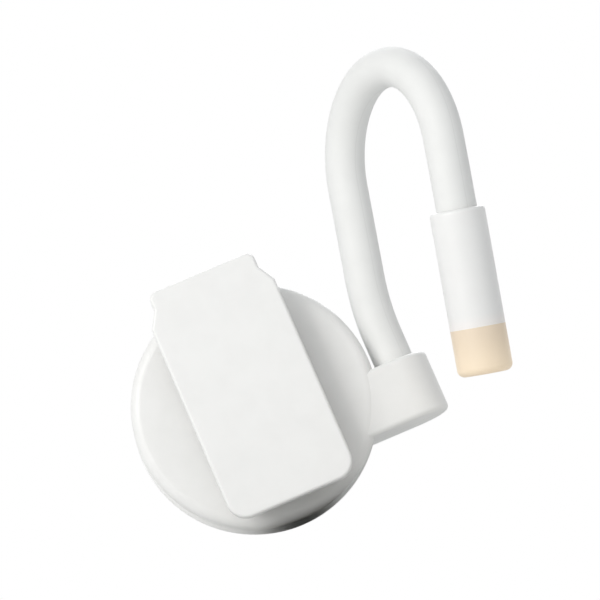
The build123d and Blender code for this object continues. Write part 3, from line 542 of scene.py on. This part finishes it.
# Inside the neck: a steel ferrule crimped in the body's socket, one annealed steel bend wire,
# and two insulated leads beside it. None of them shows while the sleeve is whole.
FERRULE_STEEL = (0.66, 0.66, 0.66)
BEND_STEEL = (0.50, 0.50, 0.50)
LEAD_RED = (0.42, 0.03, 0.02, 1.0)
LEAD_DARK_RED = (0.33, 0.02, 0.02, 1.0)
NECK_HINGES = 9
LINKS = ["root"] + [str(number) for number in range(1, NECK_HINGES + 1)]
ferrule_steel = metal(
    "ferrule_steel", FERRULE_STEEL, roughness=0.32, streaks_per_metre=4000.0, stretch=(1.0, 1.0, 0.1)
)
dress(ferrule_steel, "neck_ferrule")
bend_steel = metal("bend_steel", BEND_STEEL, roughness=0.4, streaks_per_metre=4000.0)
dress(bend_steel, *["neck_wire_" + link for link in LINKS])
lead_red = moulded("lead_red", LEAD_RED, LEAD_DARK_RED, roughness=0.45, grain=0.003 * MM)
dress(lead_red, "body_leads", *["neck_leads_" + link for link in LINKS])

# Neck sleeve: one length of soft white silicone tube over the bend wire, moulded in a two-part tool.
# It comes up out of the socket, leans right, loops over to the front and ends in the lamp head.
SLEEVE_WHITE = (0.84, 0.845, 0.835, 1.0)
SLEEVE_SHADE = (0.79, 0.795, 0.785, 1.0)
SLEEVE_SHEEN = 0.12
SLEEVE_SHEEN_ROUGHNESS = 0.45
SLEEVE_RADIUS = 3.05 * MM
SLEEVE_BORE = 1.3 * MM
DEPTH_IN_SOCKET = 5.7 * MM
DEPTH_IN_HEAD = 5.9 * MM
UPRIGHT_RUN = 4.5 * MM
LEAN_RADIUS = 42.0 * MM
LEAN_ANGLE = math.radians(13.0)
LEAN_RUN = 14.2 * MM
LOOP_RADIUS = 14.5 * MM
LOOP_ANGLE = math.radians(180.0)
LOOP_PLANE = math.radians(29.0)
TAIL_RADIUS = 63.0 * MM
TAIL_ANGLE = math.radians(10.0)
HEAD_LENGTH = 24.6 * MM
SLEEVE_STEP = 0.22 * MM
SLEEVE_AROUND = 72
SOCKET_CLEAR = 0.4 * MM
SEAM_CLEAR = 0.25 * MM
ROUNDING = 1e-9
SEARCH_STEPS = 4000
FLASH_HALF = 0.012
FLASH_GREY = (0.68, 0.68, 0.67, 1.0)
FLASH_MOST = 0.35


def neck_runs():
    """Runs of the neck: each one's length, bend radius (0 if straight) and the side it bends to."""
    to_front = np.array((0.0, -1.0, 0.0))
    right = np.array((1.0, 0.0, 0.0))
    across_lean = np.array((math.cos(LEAN_ANGLE), 0.0, -math.sin(LEAN_ANGLE)))
    loop_side = to_front * math.cos(LOOP_PLANE) + across_lean * math.sin(LOOP_PLANE)
    return (
        (DEPTH_IN_SOCKET + UPRIGHT_RUN, 0.0, right),
        (LEAN_RADIUS * LEAN_ANGLE, LEAN_RADIUS, right),
        (LEAN_RUN, 0.0, across_lean),
        (LOOP_RADIUS * LOOP_ANGLE, LOOP_RADIUS, loop_side),
        (TAIL_RADIUS * TAIL_ANGLE, TAIL_RADIUS, -to_front),
        (HEAD_LENGTH, 0.0, -to_front),
    )


def neck_line(distance):
    """Points, directions and side directions of the neck's centre line, at distances from its socket.

    On a straight run a point is start + way d. On an arc of radius r it is
    start + way r sin(d / r) + bend r (1 - cos(d / r)), and both directions turn by d / r with it.
    """
    distance = np.atleast_1d(np.asarray(distance, float))
    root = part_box("neck_sleeve_root")
    start = np.array(((root[0].x + root[1].x) / 2, (root[0].y + root[1].y) / 2, root[0].z))
    along = np.array((0.0, 0.0, 1.0))
    side = np.array((math.cos(LOOP_PLANE), math.sin(LOOP_PLANE), 0.0))
    begins = -DEPTH_IN_SOCKET
    found = [np.zeros((len(distance), 3)) for _ in range(3)]
    for length, radius, towards in neck_runs():
        bend = unit(towards - along * (towards @ along))
        across = np.cross(along, bend)
        steps = np.append(distance - begins, length)[:, None]
        turn = steps / radius if radius else np.zeros_like(steps)
        cosine, sine = np.cos(turn), np.sin(turn)
        arc = along * (radius * sine) + bend * (radius * (1 - cosine))
        run = (
            start + (arc if radius else along * steps),
            along * cosine + bend * sine,
            (bend * cosine - along * sine) * (side @ bend) + across * (side @ across),
        )
        here = steps[:-1, 0] >= -ROUNDING
        for kept, new in zip(found, run):
            kept[here] = new[:-1][here]
        start, along, side = (new[-1] for new in run)
        begins += length
    return found


HEAD_START = sum(run[0] for run in neck_runs()[:-1]) - DEPTH_IN_SOCKET


def distance_of(point):
    """How far along the neck a joint's point lies."""
    steps = np.linspace(0.0, HEAD_START, SEARCH_STEPS)
    return float(steps[np.argmin(np.linalg.norm(neck_line(steps)[0] - np.array(point), axis=1))])


def sleeve_length(name, first, last):
    """A closed length of thick tube along the neck: its outer wall one way and its bore the other.

    The UV map's first value is the turn round the tube, and its second the way along and back.
    """
    count = round((last - first) / SLEEVE_STEP) + 1
    centre, way, side = neck_line(np.linspace(first, last, count))
    over = np.cross(way, side)
    outer, bore = (
        ring_points(centre, side, over, radius, SLEEVE_AROUND) for radius in (SLEEVE_RADIUS, SLEEVE_BORE)
    )
    rings = np.concatenate((outer, bore[::-1]))
    faces, row, column = grid_faces(len(rings), SLEEVE_AROUND, len(rings))
    sleeve = new_piece(name, rings, faces.tolist())
    u = np.stack((column, column + 1, column + 1, column), -1) / SLEEVE_AROUND
    v = np.stack((row, row, row + 1, row + 1), -1) / len(rings)
    wrap = sleeve.data.uv_layers.new(name="round_and_along")
    wrap.data.foreach_set("uv", np.stack((u, v), -1).reshape(-1).astype(np.float32))
    return sleeve


def bend_reach(first, bend, last):
    """How far a bend spreads each way along the neck, so that it leaves both square ends alone.

    A ring that is tilted against the bend's chord reaches along it by the radius times the tilt's sine.
    """
    free = min(bend - first, last - bend)
    way = neck_line([bend - free, bend + free])[1]
    tilt = math.acos(min(1.0, float(way[0] @ way[1]))) / 2
    return free - SEAM_CLEAR - SLEEVE_RADIUS * math.sin(tilt)


def sleeve_silicone():
    """Matt silicone with a soft sheen, and a faint line down each side where the tool closed.

    The line runs along the middle of each half turn, and its half width is a share of that half turn.
    """
    material = moulded(
        "sleeve_silicone", SLEEVE_WHITE, SLEEVE_SHADE, roughness=0.62, grain=0.006 * MM, Crease=0.2
    )
    tree = material.node_tree
    shader = tree.nodes["Principled BSDF"]
    shader.inputs["Sheen Weight"].default_value = SLEEVE_SHEEN
    shader.inputs["Sheen Roughness"].default_value = SLEEVE_SHEEN_ROUGHNESS
    split = node(tree, "ShaderNodeSeparateXYZ")
    feed(tree, split, node(tree, "ShaderNodeUVMap", uv_map="round_and_along").outputs["UV"])
    half_turn = arithmetic(tree, "FRACT", arithmetic(tree, "MULTIPLY", split.outputs["X"], 2.0))
    away = arithmetic(tree, "ABSOLUTE", arithmetic(tree, "SUBTRACT", half_turn, 0.5))
    line = remap(tree, away, (FLASH_HALF, 0.0), (0.0, FLASH_MOST), "SMOOTHSTEP")
    base = shader.inputs["Base Color"]
    tree.links.new(blended(tree, line, base.links[0].from_socket, FLASH_GREY), base)
    return material


neck_joints = [
    joint for joint in frame["record"]["behaviour"]["joints"] if joint["name"].startswith("neck_")
]
neck_joints.sort(key=lambda joint: distance_of(joint["pos_m"]))
bends = [distance_of(joint["pos_m"]) for joint in neck_joints]
between = [(low + high) / 2 for low, high in zip(bends, bends[1:])]
seams = [-DEPTH_IN_SOCKET] + between + [HEAD_START + DEPTH_IN_HEAD]
silicone = sleeve_silicone()
for index, (joint, bend) in enumerate(zip(neck_joints, bends)):
    first, last = seams[index], seams[index + 1]
    sleeve = sleeve_length("sleeve_bend_" + str(index + 1), first, last)
    sleeve.data.materials.append(silicone)
    reach = bend_reach(max(first, SOCKET_CLEAR), bend, min(last, HEAD_START - SOCKET_CLEAR))
    ends = neck_line([bend - reach, bend + reach])[0]
    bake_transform(sleeve)
    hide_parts("neck_sleeve_" + LINKS[index + 1], *(["neck_sleeve_root"] if index == 0 else []))

# Lamp head: a white ABS tube that grips the end of the neck, and a translucent tip pressed into it.
# The light inside warms the tip, most at its end, and a little of it comes through the tube's thin rim.
# Inside are a small white-lacquered board and one warm light-emitting diode.
HEAD_WHITE = (0.865, 0.865, 0.86, 1.0)
HEAD_SHADE = (0.81, 0.81, 0.80, 1.0)
TIP_LENGTH = 7.0 * MM
TIP_TOP = HEAD_LENGTH - TIP_LENGTH
RIM_GLOW_LENGTH = 2.2 * MM
RIM_GLOW = (0.035, 0.012, 0.0, 1.0)
NO_GLOW = (0.0, 0.0, 0.0, 1.0)
# The tip's two warm colours are painted lamplight coming through its plastic, not the plastic's own
# colour.
TIP_LAMPLIT_AMBER = (0.80, 0.69, 0.55, 1.0)
TIP_LAMPLIT_SHADE = (0.77, 0.65, 0.50, 1.0)
TIP_ROOT_GLOW = (0.05, 0.028, 0.012, 1.0)
TIP_END_GLOW = (0.16, 0.12, 0.07, 1.0)
HEAD_BOARD_WHITE = (0.75, 0.76, 0.75, 1.0)
HEAD_BOARD_SHADE = (0.68, 0.69, 0.68, 1.0)
DIODE_YELLOW = (0.95, 0.75, 0.25, 1.0)
DIODE_SHADE = (0.85, 0.62, 0.15, 1.0)
DIODE_LIGHT = (1.0, 0.85, 0.6, 1.0)
DIODE_STRENGTH = 3.0


def glow_along_head(material, begins, ends, faint, bright):
    """Light that grows along the head, from one distance below its shoulder to another.

    The distance is the dot product of the head's direction with the point less the shoulder.
    """
    tree = material.node_tree
    shoulder, way, _ = neck_line([HEAD_START])
    down = node(tree, "ShaderNodeVectorMath", operation="DOT_PRODUCT")
    feed(tree, down, node(tree, "ShaderNodeTexCoord").outputs["Object"], tuple(way[0]))
    start = float(shoulder[0] @ way[0])
    grown = remap(tree, down.outputs["Value"], (start + begins, start + ends), kind="SMOOTHSTEP")
    shader = tree.nodes["Principled BSDF"]
    tree.links.new(blended(tree, grown, faint, bright), shader.inputs["Emission Color"])
    shader.inputs["Emission Strength"].default_value = 1.0


head_white = moulded("head_white", HEAD_WHITE, HEAD_SHADE, roughness=0.4, grain=0.005 * MM)
glow_along_head(head_white, TIP_TOP - RIM_GLOW_LENGTH, TIP_TOP, faint=NO_GLOW, bright=RIM_GLOW)
dress(head_white, "head_shell")
# The tip's amber base colour is painted warm lamplight from the diode shining through its plastic.
tip_lamplit_amber = moulded("tip_lamplit_amber", TIP_LAMPLIT_AMBER, TIP_LAMPLIT_SHADE, roughness=0.36, grain=0.004 * MM)
glow_along_head(tip_lamplit_amber, TIP_TOP, HEAD_LENGTH, faint=TIP_ROOT_GLOW, bright=TIP_END_GLOW)
dress(tip_lamplit_amber, "lens_tip")
board_white = moulded(
    "board_white", HEAD_BOARD_WHITE, HEAD_BOARD_SHADE, roughness=0.35, grain=0.003 * MM
)
dress(board_white, "led_board")
diode_face = moulded("diode_face", DIODE_YELLOW, DIODE_SHADE, roughness=0.3, grain=0.002 * MM)
diode_shader = diode_face.node_tree.nodes["Principled BSDF"]
diode_shader.inputs["Emission Color"].default_value = DIODE_LIGHT
diode_shader.inputs["Emission Strength"].default_value = DIODE_STRENGTH
dress(diode_face, "led_chip")
